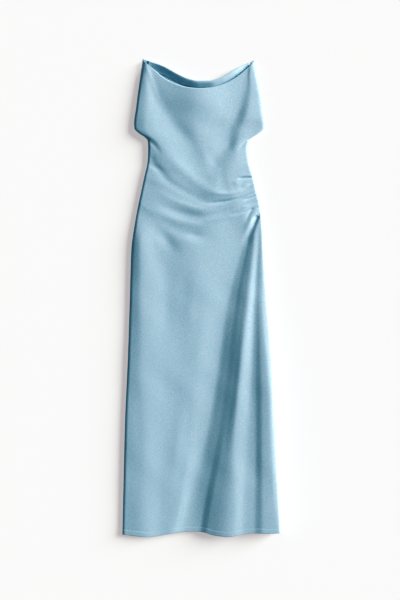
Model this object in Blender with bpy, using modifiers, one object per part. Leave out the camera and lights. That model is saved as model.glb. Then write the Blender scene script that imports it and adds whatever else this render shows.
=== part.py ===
"""A long dress in soft knit, laid on its back on a flat surface.

The front and back are cut with grown-on cap sleeves. A wide boat neckline sags between the
shoulder tips, and gathers in the side seam at the wearer's left pull the front into swags.
X runs across the dress, Y from hem to neck and Z up from the surface. The dress lies with
the middle of its underside at the origin. All tables are in millimetres.
"""

import math
from collections import namedtuple

import bmesh
import bpy
import numpy as np

MM = 0.001

# Cloth and seams
CLOTH = 1.5
SEAM_GAP = 0.3
SEAM_RUN = 2.5
FACING_CLOTH = 1.2
FACING_INSET = 0.12
NECK_ROLL_RADIUS = 3.6
NECK_ROLL_TURN = math.radians(150)
SLEEVE_EDGE_TURN = math.radians(42)
BACK_HEM_Y = -692.0
# The back's sides curl up to the seam in equal steps, each turned by a share of a right angle.
CURL_STEP = 2.0
CURL_TURNS = (0.2, 0.5, 0.8, 1.0)
# The back's neck edge stands up a little, more in the middle than at the shoulder tips.
NECK_LIFT = 8.0
NECK_LIFT_RUN = 30.0
NECK_LIFT_FADE = 0.45
SEAM_HEIGHT = SEAM_GAP + CURL_STEP * sum(math.sin(turn * math.pi / 2) for turn in CURL_TURNS)
NARROWEST_FOLD = 8.5

# The outline of the dress, from the shoulder tips down to the hem. Roll is how far in from
# the edge the front turns down, rim is the height of its edge, and closed is 1 on a seam
# and 0 on an open sleeve edge.
Station = namedtuple("Station", "name y left right left_roll right_roll rim closed")
OUTLINE = [
    Station("shoulder_tip", 710.0, -174.0, 158.0, 7.0, 7.0, 4.2, 0.0),
    Station("upper_sleeve", 618.0, -188.0, 174.5, 8.0, 10.0, 10.0, 0.0),
    Station("middle_sleeve", 564.0, -194.5, 181.5, 8.0, 12.0, 11.5, 0.0),
    Station("sleeve_corner", 515.0, -200.5, 187.0, 8.0, 10.0, 10.0, 0.0),
    Station("sleeve_turn", 501.0, -199.5, 185.5, 8.0, 8.0, 8.0, 0.7),
    Station("underarm_top", 488.0, -187.0, 171.0, 8.0, 8.0, SEAM_HEIGHT, 1.0),
    Station("underarm_seam", 476.0, -169.0, 151.5, 8.0, 8.0, SEAM_HEIGHT, 1.0),
    Station("underarm_point", 464.0, -159.5, 140.5, 8.0, 8.0, SEAM_HEIGHT, 1.0),
    Station("bust", 439.0, -158.5, 137.5, 8.0, 8.0, SEAM_HEIGHT, 1.0),
    Station("waist", 409.0, -159.5, 141.0, 8.0, 8.0, SEAM_HEIGHT, 1.0),
    Station("gather_top", 350.0, -171.5, 156.0, 8.0, 7.0, SEAM_HEIGHT, 1.0),
    Station("gather_end", 230.0, -196.0, 180.0, 9.0, 6.0, SEAM_HEIGHT, 1.0),
    Station("low_hip", 140.0, -208.5, 185.5, 9.0, 5.0, SEAM_HEIGHT, 1.0),
    Station("thigh", -8.0, -213.0, 194.0, 9.0, 4.0, SEAM_HEIGHT, 1.0),
    Station("above_knee", -187.0, -219.0, 208.0, 9.0, 4.0, SEAM_HEIGHT, 1.0),
    Station("knee", -366.0, -227.0, 216.5, 9.0, 4.0, SEAM_HEIGHT, 1.0),
    Station("calf", -545.0, -231.5, 226.0, 9.0, 4.0, SEAM_HEIGHT, 1.0),
    Station("hem", -700.0, -235.0, 235.0, 9.0, 4.0, SEAM_HEIGHT, 1.0),
]

# How far the necklines drop below the shoulder tips, across from -1 at the left tip to 1.
NeckPoint = namedtuple("NeckPoint", "across front back")
NECKLINE = [
    NeckPoint(-1.0, 8.0, 0.0),
    NeckPoint(-0.8, 37.0, 12.0),
    NeckPoint(-0.6, 65.0, 26.0),
    NeckPoint(-0.4, 82.0, 44.5),
    NeckPoint(-0.2, 92.0, 60.0),
    NeckPoint(0.0, 95.0, 67.5),
    NeckPoint(0.2, 93.0, 67.0),
    NeckPoint(0.4, 83.5, 57.0),
    NeckPoint(0.6, 67.0, 38.5),
    NeckPoint(0.8, 41.0, 20.0),
    NeckPoint(1.0, 9.0, 3.5),
]

# How far the front's hem hangs below the hem station, across from -1 to 1.
HemPoint = namedtuple("HemPoint", "across drop")
HEM_WAVE = [
    HemPoint(-1.0, 4.0),
    HemPoint(-0.67, 10.0),
    HemPoint(-0.32, -2.0),
    HemPoint(-0.12, -6.0),
    HemPoint(0.0, -5.0),
    HemPoint(0.17, 3.0),
    HemPoint(0.33, 6.0),
    HemPoint(0.49, 0.0),
    HemPoint(0.66, -5.0),
    HemPoint(0.82, -4.0),
    HemPoint(1.0, -6.0),
]

# The crests and valleys of the chest and, below it, of the skirt: their places across and
# heights at each level.
CrossLine = namedtuple("CrossLine", "name across height")
CHEST_LEVELS = (710.0, 640.0, 594.0, 534.0, 498.0, 454.0, 409.0, 364.0, 230.0)
CHEST = [
    CrossLine(
        "left_edge",
        (-174.0, -185.0, -191.0, -198.0, -198.0, -159.0, -160.0, -170.0, -196.0),
        (8.0, 13.0, 14.5, 15.5, 15.5, 14.0, 14.0, 14.0, 14.0),
    ),
    CrossLine(
        "left_crest",
        (-160.0, -163.0, -162.0, -164.0, -164.0, -125.0, -106.0, -72.0, -130.0),
        (11.7, 16.3, 17.5, 18.7, 18.8, 17.5, 17.2, 17.0, 15.6),
    ),
    CrossLine(
        "left_valley",
        (-140.0, -145.0, -138.0, -98.0, -76.0, -35.0, -14.0, 10.0, -60.0),
        (11.7, 15.2, 15.6, 15.2, 14.6, 14.4, 14.7, 15.9, 16.7),
    ),
    CrossLine(
        "middle_crest",
        (-10.0, -15.0, -20.0, -18.0, -20.0, -5.0, 14.0, 45.0, 10.0),
        (18.7, 22.6, 24.1, 19.3, 17.4, 15.2, 15.2, 16.6, 17.9),
    ),
    CrossLine(
        "right_valley",
        (138.0, 134.0, 124.0, 100.0, 82.0, 79.0, 45.0, 60.0, 80.0),
        (10.9, 12.4, 13.2, 12.4, 10.8, 11.2, 13.4, 16.2, 16.7),
    ),
    CrossLine(
        "right_crest",
        (146.0, 146.0, 140.0, 128.0, 120.0, 106.0, 94.0, 80.0, 120.0),
        (11.3, 14.0, 14.4, 16.3, 14.2, 14.2, 15.8, 16.8, 17.1),
    ),
    CrossLine(
        "right_edge",
        (158.0, 171.0, 177.0, 184.0, 183.0, 139.0, 141.0, 153.0, 180.0),
        (8.0, 11.0, 11.5, 12.5, 10.5, 12.0, 13.0, 14.0, 14.0),
    ),
]
BODICE_ENDS = 250.0
SKIRT_STARTS = 150.0

SKIRT_LEVELS = (165.0, -8.0, -276.0, -455.0, -604.0, -700.0)
SKIRT = [
    CrossLine(
        "left_edge",
        (-209.0, -213.0, -223.0, -229.0, -232.5, -235.0),
        (13.0, 13.0, 13.0, 13.0, 13.0, 13.0),
    ),
    CrossLine(
        "left_crest",
        (-178.0, -176.0, -174.0, -168.0, -168.0, -168.0),
        (18.5, 17.8, 17.2, 16.8, 16.8, 16.8),
    ),
    CrossLine(
        "left_valley",
        (-138.0, -100.0, -104.0, -112.0, -118.0, -124.0),
        (16.5, 15.2, 15.4, 15.4, 15.6, 15.6),
    ),
    CrossLine(
        "middle_crest",
        (-30.0, -4.0, -30.0, -46.0, -66.0, -92.0),
        (18.5, 16.5, 16.0, 16.0, 16.2, 16.4),
    ),
    CrossLine(
        "main_valley",
        (116.0, 76.0, 36.0, 2.0, -32.0, -52.0),
        (13.5, 12.8, 13.2, 13.4, 13.6, 13.8),
    ),
    CrossLine(
        "main_low",
        (129.0, 100.0, 64.0, 36.0, 8.0, -7.0),
        (14.6, 16.2, 18.0, 18.4, 16.8, 16.4),
    ),
    CrossLine(
        "main_high",
        (138.0, 118.0, 90.0, 62.0, 32.0, 17.0),
        (16.8, 21.0, 25.0, 25.3, 23.2, 22.6),
    ),
    CrossLine(
        "main_crest",
        (152.0, 137.5, 111.0, 97.0, 97.0, 95.0),
        (18.5, 24.5, 30.0, 31.0, 32.0, 32.0),
    ),
    CrossLine(
        "side_valley",
        (166.0, 158.0, 144.0, 136.0, 128.0, 124.0),
        (17.5, 21.2, 27.6, 29.0, 30.0, 30.4),
    ),
    CrossLine(
        "side_low",
        (170.0, 163.5, 157.0, 157.0, 155.0, 154.0),
        (17.6, 21.6, 28.8, 30.0, 30.8, 31.1),
    ),
    CrossLine(
        "side_high",
        (174.0, 171.0, 179.0, 180.0, 182.0, 182.0),
        (17.9, 22.6, 33.8, 34.6, 34.9, 34.6),
    ),
    CrossLine(
        "side_crest",
        (178.0, 178.0, 198.0, 204.0, 214.0, 225.0),
        (18.0, 23.0, 35.2, 36.0, 36.0, 35.4),
    ),
    CrossLine(
        "right_edge",
        (186.0, 194.5, 212.0, 220.5, 229.0, 235.0),
        (15.0, 20.0, 32.0, 33.5, 34.2, 34.6),
    ),
]

# Each soft fold of the front: a line through its points, how far it rises (or sinks, below
# zero), half its width at the start, the middle and the end, how much steeper its left-hand
# side is, and over what share of its length it fades in and out.
Fold = namedtuple("Fold", "name points rise widths lean fades")
FOLDS = [
    Fold(
        "left_cowl_valley",
        ((-159, 677), (-136, 624), (-106, 558), (-73, 507), (-46, 481), (-19, 457)),
        -1.0, (8, 17, 18), 0.0, (0.2, 0.4),
    ),
    Fold(
        "right_cowl_valley",
        ((139, 659), (118, 597), (97, 534), (73, 463), (46, 391), (28, 349)),
        -0.8, (9, 20, 20), 0.0, (0.2, 0.35),
    ),
    Fold(
        "right_shoulder_ridge",
        ((153, 647), (145, 594), (133, 534), (115, 469), (103, 409), (94, 361)),
        0.8, (9, 18, 20), 0.0, (0.3, 0.35),
    ),
    Fold(
        "upper_ridge",
        ((-124, 466), (-115, 445), (-64, 384), (1, 329), (58, 302), (97, 299), (136, 308), (180, 327)),
        2.2, (20, 16, 7), 0.0, (0.4, 0.0),
    ),
    Fold(
        "underarm_trough",
        ((-159, 424), (-112, 358), (-67, 323), (1, 287), (31, 279), (70, 281), (130, 295), (180, 309)),
        -2.4, (10, 13, 6), 0.0, (0.05, 0.0),
    ),
    Fold(
        "upper_swag",
        ((-153, 329), (-91, 290), (-16, 263), (25, 261), (77, 270), (115, 282), (182, 304)),
        2.6, (13, 10, 6), 0.2, (0.3, 0.0),
    ),
    Fold(
        "upper_swag_trough",
        ((-142, 287), (-91, 259), (-13, 238), (25, 239), (76, 254), (182, 291)),
        -2.4, (12, 10, 6), 0.0, (0.3, 0.0),
    ),
    Fold(
        "lower_swag",
        ((-153, 269), (-91, 235), (-13, 214), (25, 217), (100, 244), (184, 276)),
        2.2, (13, 10, 7), 0.2, (0.3, 0.0),
    ),
    Fold(
        "lower_swag_trough",
        ((-136, 236), (-74, 200), (1, 177), (40, 186)),
        -2.1, (13, 15, 14), 0.0, (0.35, 0.4),
    ),
    Fold(
        "pocket_valley",
        ((184, 258), (165, 229), (153, 205), (134, 172)),
        -5.0, (8, 10, 14), 0.0, (0.0, 0.45),
    ),
    Fold(
        "pocket_rim",
        ((176, 272), (164, 254), (146, 224), (118, 160)),
        3.3, (7, 10, 16), 0.0, (0.1, 0.5),
    ),
    Fold(
        "top_tuck",
        ((106, 351), (132, 353), (166, 354)),
        -3.0, (6, 5, 5), 0.0, (0.4, 0.0),
    ),
]
FOLD_STEPS = 12
SHORTEST_FADE = 0.02
SMALLEST = 1e-9

# Levels of the front's rows: each run goes from one height to the next in equal steps.
RowRun = namedtuple("RowRun", "start end steps")
FRONT_ROWS = [
    RowRun(710.0, 515.0, 9),
    RowRun(515.0, 464.0, 6),
    RowRun(464.0, 362.0, 7),
    RowRun(362.0, 218.0, 17),
    RowRun(218.0, 92.0, 6),
    RowRun(92.0, -700.0, 20),
]
BACK_ROWS = [
    RowRun(710.0, 683.0, 3),
    RowRun(683.0, 660.0, 2),
    RowRun(660.0, 515.0, 3),
    RowRun(515.0, 464.0, 6),
    RowRun(464.0, 140.0, 6),
    RowRun(140.0, -700.0, 8),
]
FRONT_COLUMNS = 28
BACK_COLUMNS = 20
ROLL_STEPS = 3
NECK_ROLL_STEPS = 4
# The facing follows the back's first rows, and leaves out some columns at each shoulder.
FACING_ROWS = 3
FACING_SKIPS = 1

# The pale blue of the knit's outer face and the deeper one of its inner side.
BLUE_KNIT = (0.33, 0.54, 0.66, 1.0)
INNER_KNIT = (0.29, 0.49, 0.61, 1.0)
SATIN_ROUGHNESS = 0.55
INNER_ROUGHNESS = 0.75


def eased(share):
    """A share from 0 to 1 that leaves and arrives gently."""
    share = np.clip(share, 0.0, 1.0)
    return share * share * (3.0 - 2.0 * share)


def bends(slopes):
    """The slope at each knot of a smooth curve that never overshoots, from those between them."""
    found = [slopes[0]]
    for before, after in zip(slopes, slopes[1:]):
        product = before * after
        found.append(np.where(product > 0, 2 * product / np.where(product > 0, before + after, 1.0), 0.0))
    return found + [slopes[-1]]


def blend(t, width, values, slopes):
    """A smooth curve between two knots, at shares t of the way."""
    return (
        values[0] * (1 + 2 * t) * (1 - t) ** 2
        + values[1] * t * t * (3 - 2 * t)
        + width * t * (1 - t) ** 2 * slopes[0]
        - width * t * t * (1 - t) * slopes[1]
    )


def through(places, values, at):
    """Reads a smooth curve that passes the values at the places and never overshoots them."""
    order = np.argsort(places)
    places = np.asarray(places, float)[order]
    values = np.asarray(values, float)[order]
    steps = np.diff(places)
    slopes = np.array(bends(np.diff(values) / steps), float)
    at = np.clip(np.asarray(at, float), places[0], places[-1])
    cell = np.clip(np.searchsorted(places, at, side="right") - 1, 0, len(steps) - 1)
    t = (at - places[cell]) / steps[cell]
    return blend(t, steps[cell], (values[cell], values[cell + 1]), (slopes[cell], slopes[cell + 1]))


def outline(column, y):
    """One column of the outline table, read at any level."""
    return through([s.y for s in OUTLINE], [getattr(s, column) for s in OUTLINE], y)


def neck_drop(layer, across):
    """How far the front's or back's neckline lies below the shoulder tips."""
    return through([p.across for p in NECKLINE], [getattr(p, layer) for p in NECKLINE], across)


def hem_drop(across):
    """How far the front's wavy hem hangs below the hem station."""
    return through([p.across for p in HEM_WAVE], [p.drop for p in HEM_WAVE], across)


def section_height(levels, lines, x, y):
    """The plain height of the front, which passes smoothly from crest to valley and back."""
    across = [through(levels, line.across, y) for line in lines]
    height = [through(levels, line.height, y) for line in lines]
    steps = [after - before for before, after in zip(across, across[1:])]
    slopes = bends([(high - low) / step for low, high, step in zip(height, height[1:], steps)])
    z = np.where(x < across[0], height[0], height[-1])
    for i, step in enumerate(steps):
        t = (x - across[i]) / step
        between = blend(t, step, height[i : i + 2], slopes[i : i + 2])
        z = np.where((t >= 0) & (t <= 1), between, z)
    return z


def spline(points):
    """A smooth line through the points of a fold."""
    padded = [np.array(points[0])] + [np.array(p) for p in points] + [np.array(points[-1])]
    line = []
    for a, b, c, d in zip(padded, padded[1:], padded[2:], padded[3:]):
        for step in range(FOLD_STEPS):
            t = step / FOLD_STEPS
            line.append(
                0.5 * (2 * b + (c - a) * t + (2 * a - 5 * b + 4 * c - d) * t**2 + (3 * b - a - 3 * c + d) * t**3)
            )
    line.append(padded[-1].astype(float))
    return np.array(line)


def fold_height(fold, x, y):
    """How much one fold adds to the height at each point."""
    line = spline(fold.points)
    nearest = np.full(x.shape, np.inf)
    along = np.zeros(x.shape)
    side = np.ones(x.shape)
    for i, (start, end) in enumerate(zip(line, line[1:])):
        run = end - start
        dx, dy = x - start[0], y - start[1]
        t = np.clip((dx * run[0] + dy * run[1]) / max(run @ run, SMALLEST), 0.0, 1.0)
        away = np.hypot(dx - t * run[0], dy - t * run[1])
        closer = away < nearest
        nearest = np.where(closer, away, nearest)
        along = np.where(closer, (i + t) / (len(line) - 1), along)
        side = np.where(closer, np.sign(run[0] * dy - run[1] * dx), side)
    width = np.maximum(through((0.0, 0.5, 1.0), fold.widths, along), NARROWEST_FOLD)
    fade_in, fade_out = (max(share, SHORTEST_FADE) for share in fold.fades)
    strength = fold.rise * eased(along / fade_in) * eased((1 - along) / fade_out)
    return strength * np.exp(-((nearest / width / (1 - fold.lean * side)) ** 2))


def front_height(x, y):
    """The height of the front's outer face away from its edges."""
    skirt = eased((BODICE_ENDS - y) / (BODICE_ENDS - SKIRT_STARTS))
    z = section_height(CHEST_LEVELS, CHEST, x, y) * (1 - skirt)
    z = z + section_height(SKIRT_LEVELS, SKIRT, x, y) * skirt
    for fold in FOLDS:
        z = z + fold_height(fold, x, y)
    return z


def levels(runs):
    """The heights of all rows, from the neck down."""
    found = [runs[0].start]
    for run in runs:
        found += [run.start + (run.end - run.start) * i / run.steps for i in range(1, run.steps + 1)]
    return found


def row_y(level, across, neck, hem):
    """A row's Y: it follows the neckline at the top and the hem at the bottom."""
    sag = max(0.0, (level - OUTLINE[3].y) / (OUTLINE[0].y - OUTLINE[3].y))
    swing = max(0.0, 1.0 - (level - OUTLINE[-1].y) / 420.0)
    return level - neck * sag - hem * swing * swing


def front_section(level):
    """One row of the front's outer face, from its left edge over the top to its right edge."""
    closed = float(outline("closed", level))
    turn = SLEEVE_EDGE_TURN * (1 - closed)
    left_roll, right_roll = float(outline("left_roll", level)), float(outline("right_roll", level))
    rim = float(outline("rim", level))
    left, right = float(outline("left", level)), float(outline("right", level))
    angles = [turn + (math.pi / 2 - turn) * i / ROLL_STEPS for i in range(ROLL_STEPS)]
    inset = np.array([(math.cos(turn) - math.cos(a)) / max(math.cos(turn), 0.1) for a in angles])
    lift = [(math.sin(a) - math.sin(turn)) / (1 - math.sin(turn)) for a in angles]
    inner = np.linspace(left + left_roll, right - right_roll, FRONT_COLUMNS + 1)
    edges = left + left_roll * inset, right - right_roll * inset[::-1]
    x = np.concatenate([[left], edges[0], inner, edges[1], [right]])
    share = np.concatenate([[0.0], lift, np.ones(len(inner)), lift[::-1], [0.0]])
    x[1] += SEAM_RUN * math.sin(turn)
    x[-2] -= SEAM_RUN * math.sin(turn)
    across = (2 * x - left - right) / (right - left)
    y = row_y(level, across, neck_drop("front", across), hem_drop(across))
    top = front_height(x, y)
    z = rim + (top - rim) * share
    run = SEAM_RUN * math.cos(turn)
    z[1:-1] = np.maximum(z[1:-1], rim + run + (top[1:-1] - rim - run) * share[1:-1])
    return np.stack([x, y, z], axis=1)


def neck_roll(first):
    """Rows that turn the front's neck edge over and inwards, from the inside out."""
    ends = (first[:, 0] - first[0, 0]) / (first[-1, 0] - first[0, 0])
    fullness = 0.28 + 0.72 * eased(np.minimum(ends, 1 - ends) / 0.2)
    rows = []
    for step in range(NECK_ROLL_STEPS, 0, -1):
        angle = NECK_ROLL_TURN * (0.4 + 0.6 * fullness) * step / NECK_ROLL_STEPS
        radius = NECK_ROLL_RADIUS * fullness
        row = first.copy()
        row[:, 1] += radius * np.sin(angle)
        row[:, 2] -= radius * (1 - np.cos(angle))
        rows.append(row)
    return rows


def skin_mesh(name, rows):
    """A mesh of quads through rows of points, each row running from -X to +X and the rows downwards."""
    shape = bmesh.new()
    grid = [[shape.verts.new([float(value) * MM for value in point]) for point in row] for row in rows]
    for upper, lower in zip(grid, grid[1:]):
        for i in range(len(upper) - 1):
            shape.faces.new((lower[i], lower[i + 1], upper[i + 1], upper[i]))
    mesh = bpy.data.meshes.new(name)
    shape.to_mesh(mesh)
    shape.free()
    mesh.shade_smooth()
    return mesh


def add_cloth(name, rows, thickness, inwards, material, collection):
    """Adds a cloth panel: an open skin given its wall by Solidify."""
    panel = bpy.data.objects.new(name, skin_mesh(name, rows))
    collection.objects.link(panel)
    panel.data.materials.append(material)
    wall = panel.modifiers.new("wall", "SOLIDIFY")
    wall.thickness = thickness * MM
    wall.offset = -1.0 if inwards else 1.0
    return panel


def knit_material(name, colour, roughness):
    """A knit's plain colour and soft lustre."""
    material = bpy.data.materials.new(name)
    material.use_nodes = True
    shader = material.node_tree.nodes["Principled BSDF"]
    shader.inputs["Base Color"].default_value = colour
    shader.inputs["Roughness"].default_value = roughness
    shader.inputs["Metallic"].default_value = 0.0
    return material


def front_rows():
    """All rows of the front, with the rolled neck edge first."""
    sections = [front_section(level) for level in levels(FRONT_ROWS)]
    return neck_roll(sections[0]) + sections


def neck_lift(across, below):
    """How high the back stands, at a distance below its neck edge."""
    middle = eased((1 - np.abs(across)) / NECK_LIFT_FADE)
    return NECK_LIFT * middle * eased(1 - below / NECK_LIFT_RUN)


def back_section(level):
    """One row of the back's underside: flat, with its sides curling up to the seams."""
    turn = float(outline("closed", level)) * math.pi / 2
    left, right = float(outline("left", level)), float(outline("right", level))
    run = np.cumsum([CURL_STEP * math.cos(turn * share) for share in CURL_TURNS])
    rise = np.cumsum([CURL_STEP * math.sin(turn * share) for share in CURL_TURNS])
    flat = np.linspace(left + run[-1], right - run[-1], BACK_COLUMNS + 1)
    x = np.concatenate([flat[0] - run[::-1], flat, flat[-1] + run])
    z = np.concatenate([rise[::-1], np.zeros(len(flat)), rise])
    across = (2 * x - left - right) / (right - left)
    neck = neck_drop("back", across)
    y = row_y(level, across, neck, 0.0)
    z = z + neck_lift(across, OUTLINE[0].y - neck - y)
    return np.stack([x, np.maximum(y, BACK_HEM_Y), z], axis=1)


def back_rows():
    """All rows of the back, which lies on the surface."""
    return [back_section(level) for level in levels(BACK_ROWS)]


def grid_normals(grid):
    """The upward unit normal at each point of a grid of rows."""
    normals = np.cross(np.gradient(grid, axis=0), np.gradient(grid, axis=1))
    return normals / np.linalg.norm(normals, axis=2, keepdims=True)


def facing_rows():
    """The facing inside the back neckline: a band of the back's own points, moved out."""
    back = np.array(back_rows())
    moved = back + (CLOTH + SEAM_GAP) * grid_normals(back)
    side = len(CURL_TURNS) + FACING_SKIPS
    rows = moved[: FACING_ROWS + 1, side:-side]
    rows[0] += (rows[1] - rows[0]) * FACING_INSET
    return rows


def main():
    """Clears the scene and builds the dress."""
    for old in list(bpy.data.objects):
        bpy.data.objects.remove(old)
    dress = bpy.data.collections.new("draped_dress")
    bpy.context.scene.collection.children.link(dress)
    front_knit = knit_material("front_knit", BLUE_KNIT, SATIN_ROUGHNESS)
    back_knit = knit_material("back_knit", BLUE_KNIT, SATIN_ROUGHNESS)
    facing_knit = knit_material("facing_knit", INNER_KNIT, INNER_ROUGHNESS)
    add_cloth("front_panel", front_rows(), CLOTH, True, front_knit, dress)
    add_cloth("back_panel", back_rows(), CLOTH, False, back_knit, dress)
    add_cloth("back_neck_facing", facing_rows(), FACING_CLOTH, False, facing_knit, dress)


main()
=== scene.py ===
"""The looks of a draped boat-neck dress in soft ribbed knit, laid on its back.

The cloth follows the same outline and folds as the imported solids, with finer creases, hems,
stitches and seams. X runs across the dress, Y from hem to neck and Z up from the surface.
Tables and sizes are in millimetres unless they say otherwise.
"""

from __future__ import annotations

import logging
import math
from dataclasses import dataclass, field
from enum import Enum
from typing import Any, NamedTuple, Sequence

import bpy
import numpy as np
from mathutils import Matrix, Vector


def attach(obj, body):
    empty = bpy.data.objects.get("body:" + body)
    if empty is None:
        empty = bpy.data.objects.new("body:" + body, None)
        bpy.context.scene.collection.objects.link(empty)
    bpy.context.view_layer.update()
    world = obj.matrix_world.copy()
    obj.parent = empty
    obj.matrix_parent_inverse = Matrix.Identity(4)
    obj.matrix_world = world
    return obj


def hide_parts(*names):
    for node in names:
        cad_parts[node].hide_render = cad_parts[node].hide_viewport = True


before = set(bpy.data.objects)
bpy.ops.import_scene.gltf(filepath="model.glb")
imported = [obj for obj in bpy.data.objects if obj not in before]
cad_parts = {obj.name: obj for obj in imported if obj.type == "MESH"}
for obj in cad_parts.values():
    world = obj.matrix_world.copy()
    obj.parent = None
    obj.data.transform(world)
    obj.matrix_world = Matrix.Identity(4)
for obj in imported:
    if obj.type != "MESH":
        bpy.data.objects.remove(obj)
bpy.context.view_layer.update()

LOG = logging.getLogger("dress")
MM = 0.001
TINY = 1e-9

Array = np.ndarray
Colour = tuple[float, float, float, float]
Curve = tuple[tuple[float, float], ...]
WHITE: Colour = (1.0, 1.0, 1.0, 1.0)

# How long one band of a wave texture is at scale 1, in metres.
WAVE_PERIOD = 0.314


class Station(NamedTuple):
    """One level of the dress's outline.

    The rolls are how far in from each edge the front turns down, rim is the height of that
    edge, and closed is 1 on a seam and 0 on an open sleeve edge.
    """

    name: str
    y: float
    left: float
    right: float
    left_roll: float
    right_roll: float
    rim: float
    closed: float


class NeckPoint(NamedTuple):
    """How far the front and back necklines drop, at a place across from -1 to 1."""

    across: float
    front: float
    back: float


class HemPoint(NamedTuple):
    """How far the front hem hangs below its station, at a place across from -1 to 1."""

    across: float
    drop: float


class CrossLine(NamedTuple):
    """A crest or valley of the front: its place across and its height at each level."""

    name: str
    across: tuple[float, ...]
    height: tuple[float, ...]


class Fold(NamedTuple):
    """A soft ridge (or trough, where rise is below zero) along a line of points.

    Widths are half the fold's width at its start, middle and end. Lean makes the side on the
    left hand, going along the line, that much steeper than the other. Fades are the shares of
    the line over which the fold grows in and dies out.
    """

    name: str
    points: tuple[tuple[float, float], ...]
    rise: float
    widths: tuple[float, float, float]
    lean: float = 0.0
    fades: tuple[float, float] = (0.35, 0.35)


class Swell(NamedTuple):
    """A broad oval rise (or dip) of the cloth, turned from the X axis by an angle in degrees."""

    name: str
    x: float
    y: float
    rise: float
    length: float
    width: float
    turn: float


class RowRun(NamedTuple):
    """A run of rows from one level down to the next, in equal steps."""

    start: float
    end: float
    steps: int


# The back's sides curl up in equal steps, each turned by a share of a right angle.
CURL_STEP = 2.0
CURL_TURNS = (0.2, 0.5, 0.8, 1.0)
SEAM_HEIGHT = CURL_STEP * sum(math.sin(turn * math.pi / 2) for turn in CURL_TURNS)

# The outline from the neck down, as the photo shows it.
OUTLINE = (
    Station("shoulder_tip", 710.0, -174.0, 158.0, 7.0, 7.0, 4.2, 0.0),
    Station("upper_sleeve", 618.0, -188.0, 174.5, 8.0, 10.0, 7.5, 0.0),
    Station("middle_sleeve", 564.0, -194.5, 181.5, 8.0, 12.0, 8.5, 0.0),
    Station("sleeve_corner", 515.0, -200.5, 187.0, 8.0, 10.0, 8.0, 0.0),
    Station("sleeve_turn", 501.0, -199.5, 185.5, 8.0, 8.0, 7.0, 0.7),
    Station("underarm_top", 488.0, -187.0, 171.0, 8.0, 8.0, SEAM_HEIGHT, 1.0),
    Station("underarm_seam", 476.0, -169.0, 151.5, 8.0, 8.0, SEAM_HEIGHT, 1.0),
    Station("underarm_point", 464.0, -159.5, 140.5, 8.0, 8.0, SEAM_HEIGHT, 1.0),
    Station("bust", 439.0, -158.5, 137.5, 8.0, 8.0, SEAM_HEIGHT, 1.0),
    Station("waist", 409.0, -159.5, 141.0, 8.0, 8.0, SEAM_HEIGHT, 1.0),
    Station("gather_top", 350.0, -171.5, 156.0, 8.0, 7.0, SEAM_HEIGHT, 1.0),
    Station("gather_end", 230.0, -196.0, 180.0, 9.0, 6.0, SEAM_HEIGHT, 1.0),
    Station("low_hip", 140.0, -208.5, 185.5, 9.0, 5.0, SEAM_HEIGHT, 1.0),
    Station("thigh", -8.0, -213.0, 194.0, 9.0, 4.0, SEAM_HEIGHT, 1.0),
    Station("above_knee", -187.0, -219.0, 208.0, 9.0, 4.0, SEAM_HEIGHT, 1.0),
    Station("knee", -366.0, -227.0, 216.5, 9.0, 4.0, SEAM_HEIGHT, 1.0),
    Station("calf", -545.0, -231.5, 226.0, 9.0, 4.0, SEAM_HEIGHT, 1.0),
    Station("hem", -700.0, -235.0, 235.0, 9.0, 4.0, SEAM_HEIGHT, 1.0),
)

NECKLINE = (
    NeckPoint(-1.0, 8.0, 0.0),
    NeckPoint(-0.8, 37.0, 12.0),
    NeckPoint(-0.6, 65.0, 26.0),
    NeckPoint(-0.4, 82.0, 44.5),
    NeckPoint(-0.2, 92.0, 60.0),
    NeckPoint(0.0, 95.0, 67.5),
    NeckPoint(0.2, 93.0, 67.0),
    NeckPoint(0.4, 83.5, 57.0),
    NeckPoint(0.6, 67.0, 38.5),
    NeckPoint(0.8, 41.0, 20.0),
    NeckPoint(1.0, 9.0, 3.5),
)

HEM_WAVE = (
    HemPoint(-1.0, 4.0),
    HemPoint(-0.67, 10.0),
    HemPoint(-0.32, -2.0),
    HemPoint(-0.12, -6.0),
    HemPoint(0.0, -5.0),
    HemPoint(0.17, 3.0),
    HemPoint(0.33, 6.0),
    HemPoint(0.49, 0.0),
    HemPoint(0.66, -5.0),
    HemPoint(0.82, -4.0),
    HemPoint(1.0, -6.0),
)

# The necklines' sag dies out at one level, and the hem's wave over a run above the hem.
SAG_ENDS = 515.0
SWING_RUN = 420.0

# The cloth's thickness, and how far the edges are tucked in at a seam.
CLOTH = 1.1
SEAM_TUCK = 0.7

# The turned hems: their depth, how far in from the cloth and up from its edge their bands lie,
# and the bands' thickness as a share of the cloth's.
HEM_DEPTH = 15.0
BAND_GAP = 0.25
BAND_INSET = 0.4
BAND_THICKNESS = 0.8

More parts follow.
